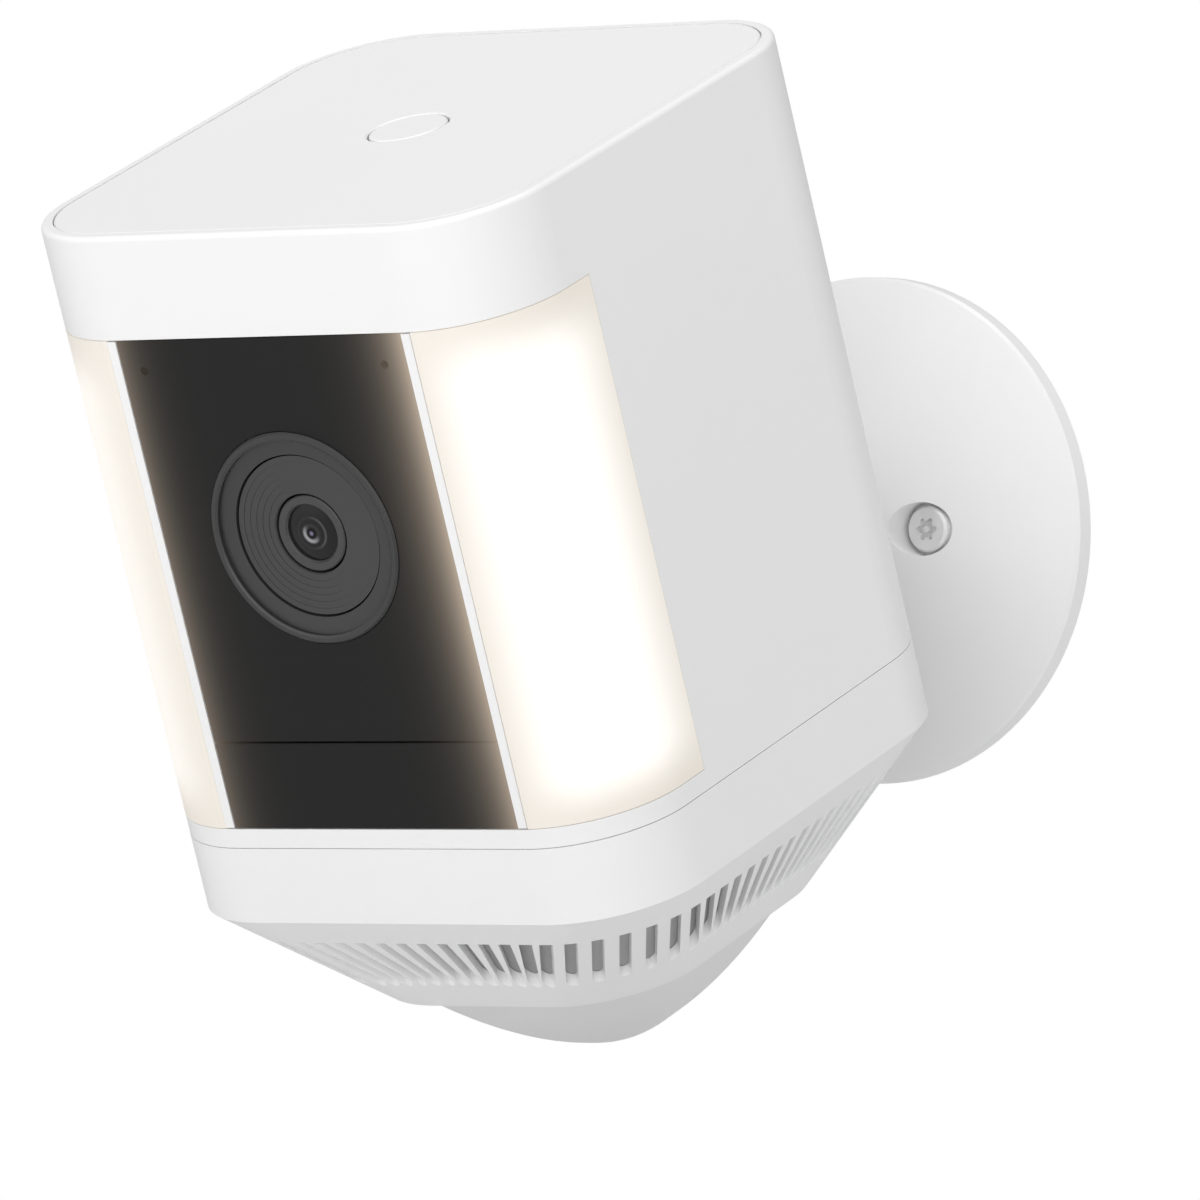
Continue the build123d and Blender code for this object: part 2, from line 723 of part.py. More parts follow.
with BuildPart() as motion_sensors:
    with BuildSketch(facing(-31.4)):
        with Locations((-14, 8.6), (0, 8.6), (14, 8.6)):
            Circle(4.6)
    extrude(amount=0.5)
    with BuildSketch(facing(-31.9)):
        with Locations((-14, 8.6), (0, 8.6), (14, 8.6)):
            Circle(4.1)
    extrude(amount=3.4)
    with BuildSketch(facing(-35.3)):
        with Locations((-14, 8.6), (0, 8.6), (14, 8.6)):
            Rectangle(4.0, 3.0)
    extrude(amount=-0.3, mode=Mode.SUBTRACT)
keep(motion_sensors, "motion_sensors", head_side)

# ================================================================ electronics and bay
BAY_BACK = 33.8
with BuildPart() as battery_bay:
    with BuildSketch(Plane.XY.offset(1.8)):
        with Locations((0, (BAY_FRONT + BAY_BACK) / 2)):
            Rectangle(2 * BAY_X, BAY_BACK - BAY_FRONT)
        with Locations((0, (BAY_FRONT + BAY_WALL + BAY_BACK) / 2)):
            Rectangle(2 * (BAY_X - BAY_WALL), BAY_BACK - BAY_FRONT - BAY_WALL, mode=Mode.SUBTRACT)
            Rectangle(1.2, BAY_BACK - BAY_FRONT - BAY_WALL)
    extrude(amount=BAY_TOP - 1.8)
    with BuildSketch(Plane.XY.offset(BAY_TOP - BAY_WALL)):
        with Locations((0, (BAY_FRONT + BAY_BACK) / 2)):
            Rectangle(2 * BAY_X, BAY_BACK - BAY_FRONT)
    extrude(amount=BAY_WALL)
    with BuildSketch(facing(BAY_FRONT)):
        with Locations(*[(x, z) for x in (-POST_X, POST_X) for z in POST_Z]):
            Circle(2.5)
    extrude(amount=BAY_FRONT - FRAME_BACK_Y)
    with BuildSketch(facing(FRAME_BACK_Y)):
        with Locations(*[(x, z) for x in (-POST_X, POST_X) for z in POST_Z]):
            Circle(1.02)
    extrude(amount=-9.0, mode=Mode.SUBTRACT)
keep(battery_bay, "battery_bay", head_side)

BOARD_Y = BAY_FRONT - 1.2
with BuildPart() as main_board:
    with BuildSketch(facing(BAY_FRONT)):
        with Locations((0, 32.5)):
            RectangleRounded(35.2, 55, 1.5)
    extrude(amount=1.2)
keep(main_board, "main_board", head_side)

with BuildPart() as processor_shield:
    with BuildSketch(facing(BOARD_Y)):
        with Locations((0, 44)):
            RectangleRounded(19, 19, 1.0)
    extrude(amount=2.2)
keep(processor_shield, "processor_shield", head_side)

with BuildPart() as board_chips:
    with BuildSketch(facing(BOARD_Y)):
        with Locations((-9, 24), (9, 24)):
            Rectangle(9, 7)
        with Locations((0, 12)):
            Rectangle(14, 6)
    extrude(amount=1.2)
keep(board_chips, "board_chips", head_side)

with BuildPart() as antenna:
    with BuildSketch(Plane.XY.offset(BAY_TOP)):
        with Locations((0, 22)):
            Rectangle(26, 0.8)
    extrude(amount=11.0)
keep(antenna, "antenna", head_side)

with BuildPart() as battery_contacts:
    with BuildSketch(Plane.XY.offset(PACK_BOTTOM + PACK_H + 0.05)):
        with Locations((-18, -2), (-9.5, -2), (9.5, -2), (18, -2)):
            Rectangle(2.4, 6)
    extrude(amount=BAY_TOP - BAY_WALL - PACK_BOTTOM - PACK_H - 0.05)
keep(battery_contacts, "battery_contacts", head_side)

SPEAKER_Y = -22.2
FLOOR_Z = 0.2
with BuildPart() as floor_frame:
    with BuildSketch(Plane.XY.offset(FLOOR_Z)):
        RectangleRounded(INNER_W - 0.3, INNER_D - 0.3, INNER_R - 0.15)
        with Locations((0, (-13.2 + 34.2) / 2)):
            Rectangle(54.4, 34.2 + 13.2, mode=Mode.SUBTRACT)
        with Locations((0, SPEAKER_Y)):
            RectangleRounded(29, 15, 4, mode=Mode.SUBTRACT)
        with Locations(*FLOOR_SCREWS):
            Circle(1.2, mode=Mode.SUBTRACT)
    extrude(amount=1.6)
    with BuildSketch(Plane.XY.offset(-4.0)):
        RectangleRounded(INNER_W - 0.5, INNER_D - 0.5, INNER_R - 0.25)
        RectangleRounded(INNER_W - 3.5, INNER_D - 3.5, INNER_R - 1.75, mode=Mode.SUBTRACT)
    extrude(amount=4.2)
    with BuildSketch(Plane.XY.offset(-4.0)):
        with Locations(*FLOOR_SCREWS):
            Circle(2.2)
    extrude(amount=4.0 + FLOOR_Z, mode=Mode.SUBTRACT)
    with BuildSketch(Plane.XY.offset(-2.6)):
        RectangleRounded(INNER_W, INNER_D, INNER_R)
        RectangleRounded(INNER_W - 1.7, INNER_D - 1.7, INNER_R - 0.85, mode=Mode.SUBTRACT)
    extrude(amount=1.4, mode=Mode.SUBTRACT)
    with BuildSketch(Plane.XY.offset(-8.2)):
        with Locations((0, 35.2)):
            Rectangle(10, 1.8)
    extrude(amount=8.4)
    with BuildSketch(Plane.XY.offset(-8.2)):
        with Locations((0, 35.2)):
            Rectangle(3.5, 4)
    extrude(amount=3.2, mode=Mode.SUBTRACT)
    with BuildSketch(Plane((0, 34.0, BALL_Z), x_dir=(1, 0, 0), z_dir=(0, 1, 0))):
        Circle(SPIGOT_R + 0.2)
    extrude(amount=5.0, mode=Mode.SUBTRACT)
keep(floor_frame, "floor_frame", head_side)

with BuildPart() as floor_screws:
    with BuildSketch(Plane.XY.offset(FLOOR_Z - 1.3)):
        with Locations(*FLOOR_SCREWS):
            Circle(1.9)
    extrude(amount=1.3)
    with BuildSketch(Plane.XY.offset(FLOOR_Z)):
        with Locations(*FLOOR_SCREWS):
            Circle(0.98)
    extrude(amount=8.0)
keep(floor_screws, "floor_screws", head_side)

with BuildPart() as speaker:
    with BuildSketch(Plane.XY.offset(FLOOR_Z - 1.6)):
        with Locations((0, SPEAKER_Y)):
            RectangleRounded(34, 17.6, 6)
    extrude(amount=1.6)
    with BuildSketch(Plane.XY.offset(FLOOR_Z)):
        with Locations((0, SPEAKER_Y)):
            RectangleRounded(28, 14, 3.8)
    extrude(amount=5.6)
    with BuildSketch(Plane.XY.offset(FLOOR_Z + 5.6)):
        with Locations((0, SPEAKER_Y)):
            Circle(6.4)
    extrude(amount=3.4)
    with BuildSketch(Plane.XY.offset(FLOOR_Z - 1.6)):
        with Locations((0, SPEAKER_Y)):
            RectangleRounded(29, 13, 4.5)
    with BuildSketch(Plane.XY.offset(FLOOR_Z + 3.2)):
        with Locations((0, SPEAKER_Y)):
            RectangleRounded(10, 6, 2.5)
    loft(mode=Mode.SUBTRACT)
keep(speaker, "speaker", head_side)

# ================================================================ base, dome and packs
def outline_at(inset, radius):
    """The head's outline, brought in by an inset."""
    return RectangleRounded(HEAD_W - 2 * inset, HEAD_D - 2 * inset, radius)


LEDGE_Z = TAPER_TOP_Z + 0.2
BASE_SCREW_Z = -7.0
SLOT_COUNT = 19
SLOT_W = 1.6
SLOT_TOP = TAPER_TOP_Z - 4.2
SLOT_OUT_INSET = 3.7
SLOT_IN_INSET = 10.7
SLOT_WALL = 1.6
SLOT_OVERRUN = 6.0
CORNER_PITCH = 1.1
POCKET_TOP = TAPER_TOP_Z - 2.8
POCKET_BOTTOM = TAPER_TOP_Z - 13.6


def taper_radius(inset):
    """Corner radius of the taper where it has come in by an inset."""
    return HEAD_R - (HEAD_R - TAPER_R) * inset / TAPER_INSET


def taper_inset(z):
    """How far the taper has come in at a height."""
    return TAPER_INSET * (TAPER_TOP_Z - z) / (TAPER_TOP_Z - TAPER_BOTTOM_Z)


def taper_runs(inset):
    """Half the straight front, the corner arc and half the straight side at an inset."""
    radius = taper_radius(inset)
    return (HEAD_W / 2 - inset - radius, radius * pi / 2, HEAD_D / 2 - inset - radius)


def taper_point(run, share, inset):
    """A point some share of the way along one of the runs, in the front right quarter."""
    radius = taper_radius(inset)
    front = taper_runs(inset)[0]
    side = taper_runs(inset)[2]
    if run == 0:
        return (share * front, -side - radius)
    if run == 1:
        turn = share * pi / 2
        return (front + radius * sin(turn), -side - radius * cos(turn))
    return (front + radius, (share - 1) * side)


def slot_places():
    """(run, share) of the slots of one quarter; the corner's are spread a little wider."""
    front, corner, side = taper_runs(SLOT_OUT_INSET)
    lengths = (front, corner / CORNER_PITCH, side)
    pitch = sum(lengths) / SLOT_COUNT
    places = []
    for index in range(SLOT_COUNT + 1):
        along = index * pitch
        run = 0
        while run < 2 and along > lengths[run]:
            along -= lengths[run]
            run += 1
        places.append((run, along / lengths[run]))
    return places


def quarters(index):
    """Mirror signs of a slot: the two on the centre lines are made twice, the rest four times."""
    if index == 0:
        return ((1, 1), (1, -1))
    if index == SLOT_COUNT:
        return ((1, 1), (-1, 1))
    return ((1, 1), (-1, 1), (1, -1), (-1, -1))


with BuildPart() as slot_cutters:
    for index, (run, share) in enumerate(slot_places()):
        outer = taper_point(run, share, SLOT_OUT_INSET)
        inner = taper_point(run, share, SLOT_IN_INSET)
        step_x = outer[0] - inner[0]
        step_y = outer[1] - inner[1]
        reach = hypot(step_x, step_y)
        length = reach + SLOT_OVERRUN
        centre_x = inner[0] + step_x / reach * length / 2
        centre_y = inner[1] + step_y / reach * length / 2
        for sign_x, sign_y in quarters(index):
            angle = degrees(atan2(sign_y * step_y, sign_x * step_x))
            place = Location((sign_x * centre_x, sign_y * centre_y, SLOT_TOP), (0, 0, angle))
            with BuildSketch(Plane(place)):
                SlotOverall(length, SLOT_W)
            extrude(amount=-12.0)

def back_screw_plane(depth):
    """A plane across the base screw, some depth in from the back wall."""
    return Plane((0, BACK_Y - depth, BASE_SCREW_Z), x_dir=(1, 0, 0), z_dir=(0, -1, 0))


with BuildPart() as base_cover:
    with BuildSketch(Plane.XY.offset(TAPER_TOP_Z)):
        outline_at(0, HEAD_R)
    extrude(amount=-TAPER_TOP_Z - GAP)
    with BuildSketch(Plane.XY.offset(TAPER_TOP_Z)):
        outline_at(0, HEAD_R)
    with BuildSketch(Plane.XY.offset(TAPER_BOTTOM_Z)):
        outline_at(TAPER_INSET, TAPER_R)
    loft(ruled=True)
    with BuildSketch(Plane.XY.offset(LEDGE_Z)):
        outline_at(WALL, INNER_R)
    extrude(amount=20, mode=Mode.SUBTRACT)
    with BuildSketch(Plane.XY.offset(LEDGE_Z)):
        outline_at(WALL + 1.5, HEAD_R - WALL - 1.5)
    with BuildSketch(Plane.XY.offset(TAPER_BOTTOM_Z)):
        outline_at(WALL + 1.5 + TAPER_INSET - 0.6, TAPER_R - 3.1)
    loft(ruled=True, mode=Mode.SUBTRACT)
    for z in (POCKET_TOP, POCKET_BOTTOM):
        with BuildSketch(Plane.XY.offset(z)):
            outline_at(taper_inset(z) + SLOT_WALL, taper_radius(taper_inset(z)) - SLOT_WALL)
    loft(ruled=True, mode=Mode.SUBTRACT)
    add(slot_cutters.part, mode=Mode.SUBTRACT)
    with BuildSketch(back_screw_plane(0)):
        Circle(1.6)
    extrude(amount=WALL, mode=Mode.SUBTRACT)
    with BuildSketch(back_screw_plane(0)):
        Circle(2.8)
    extrude(amount=1.3, mode=Mode.SUBTRACT)
keep(base_cover, "base_cover", head_side)

MESH_OFFSET = SLOT_WALL + 0.1
MESH_T = 0.6
with BuildPart() as slot_mesh:
    for offset, mode in ((MESH_OFFSET, Mode.ADD), (MESH_OFFSET + MESH_T, Mode.SUBTRACT)):
        for z in (POCKET_TOP - 0.2, POCKET_BOTTOM + 0.2):
            with BuildSketch(Plane.XY.offset(z)):
                outline_at(taper_inset(z) + offset, taper_radius(taper_inset(z)) - offset)
        loft(ruled=True, mode=mode)
keep(slot_mesh, "slot_mesh", head_side)

DOME_LEVELS = (0.0, 0.25, 0.5, 0.75, 0.93)
DOME_START = 0.6
DOME_POWER = 0.62


def dome_sections(inset, depth):
    """(width, depth, corner radius, drop) down the dome, from its edge towards its lowest point."""
    sections = []
    for share in DOME_LEVELS:
        sine = DOME_START + share * (1 - DOME_START)
        scale = ((1 - sine**2) / (1 - DOME_START**2)) ** DOME_POWER
        half_w = (HEAD_W / 2 - inset) * scale
        half_d = (HEAD_D / 2 - inset) * scale
        roundness = 0.63 + 0.3 * share
        radius = min(HEAD_R - inset * 0.1 + 4.0 * share, half_w * roundness, half_d * roundness)
        sections.append((2 * half_w, 2 * half_d, radius, share * depth))
    return sections


DOME_WALL = 2.4
DOME_INSET = TAPER_INSET + DOME_LIP
with BuildPart() as bottom_dome:
    for width, length, radius, drop in dome_sections(DOME_INSET, DOME_DROP):
        with BuildSketch(Plane.XY.offset(TAPER_BOTTOM_Z - drop)):
            RectangleRounded(width, length, radius)
    loft()
    with BuildSketch(Plane.XY.offset(TAPER_BOTTOM_Z)):
        outline_at(DOME_INSET + 1.2, TAPER_R - DOME_LIP - 1.2)
    extrude(amount=1.8)
    for width, length, radius, drop in dome_sections(DOME_INSET + 2 * DOME_WALL, DOME_DROP - 3.6):
        with BuildSketch(Plane.XY.offset(TAPER_BOTTOM_Z - drop)):
            RectangleRounded(width, length, radius)
    loft(mode=Mode.SUBTRACT)
    with BuildSketch(Plane.XY.offset(TAPER_BOTTOM_Z)):
        outline_at(DOME_INSET + 2 * DOME_WALL, TAPER_R - DOME_LIP - 2 * DOME_WALL)
    extrude(amount=3.0, mode=Mode.SUBTRACT)
keep(bottom_dome, "bottom_dome", head_side)

with BuildPart() as base_seal:
    with BuildSketch(Plane.XY.offset(-2.5)):
        RectangleRounded(INNER_W - 0.1, INNER_D - 0.1, INNER_R - 0.05)
        RectangleRounded(INNER_W - 1.7, INNER_D - 1.7, INNER_R - 0.85, mode=Mode.SUBTRACT)
    extrude(amount=1.2)
keep(base_seal, "base_seal", head_side)

with BuildPart() as base_screw:
    with BuildSketch(back_screw_plane(0.1)):
        Circle(2.6)
    extrude(amount=1.2)
    with BuildSketch(back_screw_plane(1.3)):
        Circle(1.5)
    extrude(amount=4.3)
    with BuildSketch(back_screw_plane(0.1)):
        Circle(0.9)
        with PolarLocations(0.95, 6):
            Circle(0.33)
        Circle(0.35, mode=Mode.SUBTRACT)
    extrude(amount=0.9, mode=Mode.SUBTRACT)
keep(base_screw, "base_screw", head_side)

TAB_Y = -11.5
TAB_Z = -7.0
with BuildPart() as battery_cradle:
    with BuildSketch(Plane.XY.offset(LEDGE_Z)):
        RectangleRounded(INNER_W - 0.4, INNER_D - 0.4, INNER_R - 0.2)
        with Locations((0, SPEAKER_Y)):
            RectangleRounded(36, 16, 3, mode=Mode.SUBTRACT)
    extrude(amount=PACK_BOTTOM - LEDGE_Z)
    with BuildSketch(Plane.XY.offset(PACK_BOTTOM)):
        with Locations((0, PACK_Y)):
            Rectangle(56.0, PACK_D + 1.6)
            Rectangle(53.2, PACK_D + 0.2, mode=Mode.SUBTRACT)
    extrude(amount=2.4)
    for side in (-1, 1):
        for offset in (-8.0, 8.0):
            hinge = (side * PACK_X + offset - 0.6, TAB_Y, TAB_Z)
            with BuildSketch(Plane(hinge, x_dir=(0, 1, 0), z_dir=(1, 0, 0))):
                Rectangle(1.9, 3.4)
                Circle(0.78, mode=Mode.SUBTRACT)
            extrude(amount=1.2)
keep(battery_cradle, "battery_cradle", head_side)

with BuildPart() as right_battery:
    with Locations((PACK_X, PACK_Y, PACK_BOTTOM + PACK_H / 2)):
        Box(PACK_W, PACK_D, PACK_H)
    fillet(right_battery.edges().filter_by(Axis.Z), 3.0)
    chamfer(right_battery.faces().sort_by(Axis.Z)[-1].edges(), 0.8)
    with BuildSketch(Plane.XY.offset(PACK_BOTTOM + 9.0)):
        with Locations((PACK_X, PACK_Y)):
            RectangleRounded(PACK_W, PACK_D, 3.0)
            RectangleRounded(PACK_W - 0.6, PACK_D - 0.6, 2.7, mode=Mode.SUBTRACT)
    extrude(amount=0.6, mode=Mode.SUBTRACT)
keep(right_battery, "right_battery", head_side)
keep(twin(right_battery), "left_battery", head_side)

with BuildPart() as right_battery_tab:
    with BuildSketch(Plane((PACK_X - 7.0, TAB_Y, 0), x_dir=(0, 1, 0), z_dir=(1, 0, 0))):
        with Locations((0, -3.6)):
            Rectangle(1.5, 6.0)
    extrude(amount=14.0)
    with BuildSketch(Plane((PACK_X - 8.5, TAB_Y, TAB_Z), x_dir=(0, 1, 0), z_dir=(1, 0, 0))):
        Circle(0.72)
    extrude(amount=17.0)
keep(right_battery_tab, "right_battery_tab", head_side)
keep(twin(right_battery_tab), "left_battery_tab", head_side)

# ================================================================ place the head and write
HEAD_PLACE = Location((0, -BALL_OUT, 0), (PITCH, 0, 0)) * Location((0, -BALL_Y, -BALL_Z))

for piece in head_side:
    piece.part.locate(HEAD_PLACE)
for piece in wall_side + head_side:
    export_step(piece.part, f"parts/{piece.part.label}.step")
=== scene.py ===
import math

import bpy
from mathutils import Matrix, Vector

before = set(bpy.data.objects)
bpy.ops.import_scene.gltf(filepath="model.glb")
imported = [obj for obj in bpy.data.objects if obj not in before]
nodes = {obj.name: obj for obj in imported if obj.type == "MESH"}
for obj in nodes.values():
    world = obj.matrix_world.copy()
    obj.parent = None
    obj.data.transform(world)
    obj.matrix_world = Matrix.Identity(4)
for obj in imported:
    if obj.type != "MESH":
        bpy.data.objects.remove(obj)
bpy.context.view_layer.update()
MM = 0.001

# ---------------------------------------------------------------- the head's own frame
# The head is pitched down about the ball. Pieces and patterns are laid out in the upright
# head frame, in millimetres, and carried into the row frame by HEAD.
PITCH = math.radians(21)
BALL_IN_HEAD = Vector((0, 46.5, 10.2))
BALL_IN_ROW = Vector((0, -36, 0))
HEAD = (
    Matrix.Scale(MM, 4)
    @ Matrix.Translation(BALL_IN_ROW)
    @ Matrix.Rotation(PITCH, 4, "X")
    @ Matrix.Translation(-BALL_IN_HEAD)
)
LENS_Z = 42.4


# ---------------------------------------------------------------- node helpers
class Nodes:
    """Short names for building one material's or world's node tree."""

    def __init__(self, tree):
        self.tree = tree

    def add(self, kind, **settings):
        """A new node with its properties set."""
        node = self.tree.nodes.new(kind)
        for key, value in settings.items():
            setattr(node, key, value)
        return node

    def link(self, source, target):
        self.tree.links.new(source, target)

    def feed(self, socket, value):
        """Give a socket a link or a constant."""
        if isinstance(value, bpy.types.NodeSocket):
            self.link(value, socket)
        else:
            socket.default_value = value

    def math(self, operation, a, b=0.0, clamp=False):
        node = self.add("ShaderNodeMath", operation=operation, use_clamp=clamp)
        self.feed(node.inputs[0], a)
        self.feed(node.inputs[1], b)
        return node.outputs[0]

    def noise(self, coords, scale, detail=2.0, rough=0.5):
        node = self.add("ShaderNodeTexNoise")
        self.link(coords, node.inputs["Vector"])
        node.inputs["Scale"].default_value = scale
        node.inputs["Detail"].default_value = detail
        node.inputs["Roughness"].default_value = rough
        return node.outputs["Fac"]

    def ramp(self, value, low, high, to_low=0.0, to_high=1.0):
        """A smooth step from one value to another as the input goes from low to high."""
        node = self.add("ShaderNodeMapRange", interpolation_type="SMOOTHSTEP")
        self.link(value, node.inputs["Value"])
        for name, number in (
            ("From Min", low),
            ("From Max", high),
            ("To Min", to_low),
            ("To Max", to_high),
        ):
            node.inputs[name].default_value = number
        return node.outputs["Result"]

    def mix(self, factor, a, b):
        """Colour a turning into colour b."""
        node = self.add("ShaderNodeMix", data_type="RGBA")
        self.feed(node.inputs["Factor"], factor)
        self.feed(node.inputs[6], a)
        self.feed(node.inputs[7], b)
        return node.outputs[2]

    def object_coords(self):
        return self.add("ShaderNodeTexCoord").outputs["Object"]

    def head_coords(self):
        """Millimetres in the upright head frame, as separate x, y and z."""
        place = self.add("ShaderNodeMapping", vector_type="POINT")
        self.link(self.object_coords(), place.inputs["Vector"])
        back = HEAD.inverted()
        place.inputs["Location"].default_value = back.translation
        place.inputs["Rotation"].default_value = (-PITCH, 0, 0)
        place.inputs["Scale"].default_value = (1 / MM, 1 / MM, 1 / MM)
        split = self.add("ShaderNodeSeparateXYZ")
        self.link(place.outputs["Vector"], split.inputs[0])
        return split.outputs[0], split.outputs[1], split.outputs[2]


    def distance(self, a, b):
        """Length of the plane vector (a, b)."""
        squares = self.math("ADD", self.math("MULTIPLY", a, a), self.math("MULTIPLY", b, b))
        return self.math("SQRT", squares)

    def glow(self, shader, colour, strength=1.0):
        """Light given out by the surface."""
        self.feed(shader.inputs["Emission Color"], colour)
        shader.inputs["Emission Strength"].default_value = strength


def grey(value):
    return (value, value, value, 1)


DRIFT_SCALE = 28  # per metre
MARK_SCALE = 160


def finish(
    name,
    colour,
    rough,
    grain=0.0,
    grain_size=0.25,
    metal=0.0,
    spread=0.03,
    smudge=0.06,
    specular=0.5,
):
    """A moulded or machined finish: grain as bump, uneven gloss, a drift of colour and faint rub marks.

    Returns the material with its node helper and shader, for finishes that add something of their own.
    """
    material = bpy.data.materials.new(name)
    material.use_nodes = True
    n = Nodes(material.node_tree)
    shader = material.node_tree.nodes["Principled BSDF"]
    coords = n.object_coords()
    drift = n.noise(coords, DRIFT_SCALE, 3.0)
    marks = n.ramp(n.noise(coords, MARK_SCALE, 4.0, 0.6), 0.6, 0.78)
    darker = tuple(c * (1 - spread) for c in colour[:3]) + (1,)
    worn = tuple(c * (1 - 2 * spread) for c in colour[:3]) + (1,)
    base = n.mix(n.ramp(drift, 0.35, 0.65), colour, darker)
    base = n.mix(n.math("MULTIPLY", marks, 0.5), base, worn)
    n.link(base, shader.inputs["Base Color"])
    uneven = n.ramp(drift, 0.3, 0.7, rough - smudge / 2, rough + smudge / 2)
    gloss = n.math("SUBTRACT", uneven, n.math("MULTIPLY", marks, smudge), clamp=True)
    n.link(gloss, shader.inputs["Roughness"])
    shader.inputs["Metallic"].default_value = metal
    shader.inputs["Specular IOR Level"].default_value = specular
    if grain:
        bump = n.add("ShaderNodeBump")
        bump.inputs["Strength"].default_value = 1.0
        bump.inputs["Distance"].default_value = grain * MM
        n.link(n.noise(coords, 1 / (grain_size * MM), 2.0), bump.inputs["Height"])
        n.link(bump.outputs["Normal"], shader.inputs["Normal"])
    return material, n, shader


def plain(name, colour, rough, **settings):
    """A finish with nothing added."""
    return finish(name, colour, rough, **settings)[0]


def paint(material, *names):
    """Give CAD nodes a material of their own."""
    for name in names:
        for place in nodes[name].material_slots:
            place.material = material


# ---------------------------------------------------------------- finishes
shell = plain("shell_plastic", grey(0.82), 0.42, grain=0.006, grain_size=0.35, spread=0.008)
under = plain("dome_plastic", grey(0.74), 0.45, grain=0.006, grain_size=0.35, spread=0.01)
black = plain("black_plastic", grey(0.018), 0.45, grain=0.008, smudge=0.1)
ring = plain("lens_ring_plastic", grey(0.032), 0.36, grain=0.003, smudge=0.08)
cone = plain("lens_cone_plastic", grey(0.04), 0.5, grain=0.003, smudge=0.08)
barrel = plain("lens_barrel_plastic", grey(0.045), 0.34, grain=0.002, smudge=0.06)
metal = plain("bare_aluminium", grey(0.62), 0.34, grain=0.004, metal=1.0, smudge=0.12)
steel = plain("plated_steel", grey(0.72), 0.32, grain=0.002, metal=0.85, smudge=0.12)
screw = plain("screw_coating", grey(0.82), 0.4, grain=0.004, smudge=0.1)
rubber = plain("seal_rubber", grey(0.03), 0.75, grain=0.02)
board = plain("solder_mask", (0.01, 0.09, 0.035, 1), 0.35, grain=0.01, grain_size=0.8)
chips = plain("chip_resin", grey(0.025), 0.55, grain=0.005)
tabs = plain("tab_plastic", (0.02, 0.02, 0.022, 1), 0.5, grain=0.01)
contact = plain("gold_contact", (0.83, 0.62, 0.28, 1), 0.3, metal=1.0)
packs = plain("pack_plastic", grey(0.03), 0.42, grain=0.008)
bright = plain("reflector_plastic", grey(0.86), 0.5, grain=0.004)
weave = plain("acoustic_mesh", grey(0.42), 0.8, grain=0.03, grain_size=0.15, spread=0.05)

# Every node takes the finish of its material slot first; a few then get one of their own.
by_slot = {
    "shell": shell,
    "dome": under,
    "face": black,
    "black_plastic": black,
    "diffuser": bright,
    "reflector": bright,
    "aluminium": metal,
    "steel": steel,
    "circuit_board": board,
    "chip": chips,
    "led": bright,
    "glass": black,
    "rubber": rubber,
    "pack": packs,
    "tab": tabs,
    "contact": contact,
    "mesh": weave,
}
for node in nodes.values():
    for place in node.material_slots:
        place.material = by_slot[place.material.name]
paint(ring, "lens_ring")
paint(cone, "lens_bezel")
paint(barrel, "lens_barrel")
paint(screw, "wall_screws")
paint(rubber, "socket_liner")
paint(steel, "processor_shield")

# ---------------------------------------------------------------- front panels with spilled light
PANEL_EDGE = 22.6


def painted_spill_panel(name, colour, rough):
    """Dark plastic with the diffusers' spill light painted as a glow along its two long edges."""
    material, n, shader = finish(name, colour, rough, grain=0.003, smudge=0.05, specular=0.24)
    x, _, z = n.head_coords()
    # Painted spill light: a glow fading in from each long edge, stronger at the right edge and towards
    # the top.
    edges = 0.0
    for distance, reach, strength in (
        (n.math("SUBTRACT", PANEL_EDGE, x), 2.7, 0.44),
        (n.math("ADD", PANEL_EDGE, x), 2.2, 0.17),
    ):
        fall = n.math("POWER", math.e, n.math("MULTIPLY", distance, -1 / reach))
        edges = n.math("ADD", n.math("MULTIPLY", fall, strength), edges)
    glow = n.math("MULTIPLY", edges, n.ramp(z, -4, 30, 0.72, 1.0))
    n.glow(shader, n.mix(glow, (0, 0, 0, 1), (1.0, 0.82, 0.64, 1)))
    return material


paint(painted_spill_panel("face_plastic_painted_spill", grey(0.006), 0.42), "face_plate")
paint(painted_spill_panel("window_plastic_painted_spill", grey(0.006), 0.40), "sensor_window")

# ---------------------------------------------------------------- lit diffusers
# Brightness follows the arc length round the corner from the strip beside the panel, and the
# height. The left diffuser is the dimmer one.
CORNER_X = 23.0
CORNER_Y = -25.0
CORNER_R = 15.0

lit, n, shader = finish("diffuser_plastic", (0.62, 0.60, 0.57, 1), 0.45, grain=0.004, spread=0.01)
x, y, z = n.head_coords()
across = n.math("SUBTRACT", n.math("ABSOLUTE", x), CORNER_X)
along = n.math("SUBTRACT", y, CORNER_Y)
angle = n.math("ARCTAN2", along, across)
arc = n.math("MULTIPLY", n.math("ADD", angle, math.pi / 2), CORNER_R)
body = n.math("MULTIPLY", n.ramp(arc, 0.0, 11.0), n.ramp(arc, 18.0, 33.0, 1.0, 0.0))
tall = n.math("MULTIPLY", n.ramp(z, 2.5, 10.5), n.ramp(z, 60.5, 69.5, 1.0, 0.0))
core = n.math("MULTIPLY", n.math("MULTIPLY", body, tall), n.ramp(x, -10, 10, 0.62, 1.0))
n.glow(shader, n.mix(core, (0.22, 0.19, 0.15, 1), (0.60, 0.58, 0.545, 1)))
paint(lit, "left_diffuser", "right_diffuser")

phosphor, n, shader = finish("led_phosphor", (0.9, 0.75, 0.3, 1), 0.4)
n.glow(shader, (1.0, 0.86, 0.6, 1), strength=3.0)
paint(phosphor, "spotlight_leds")
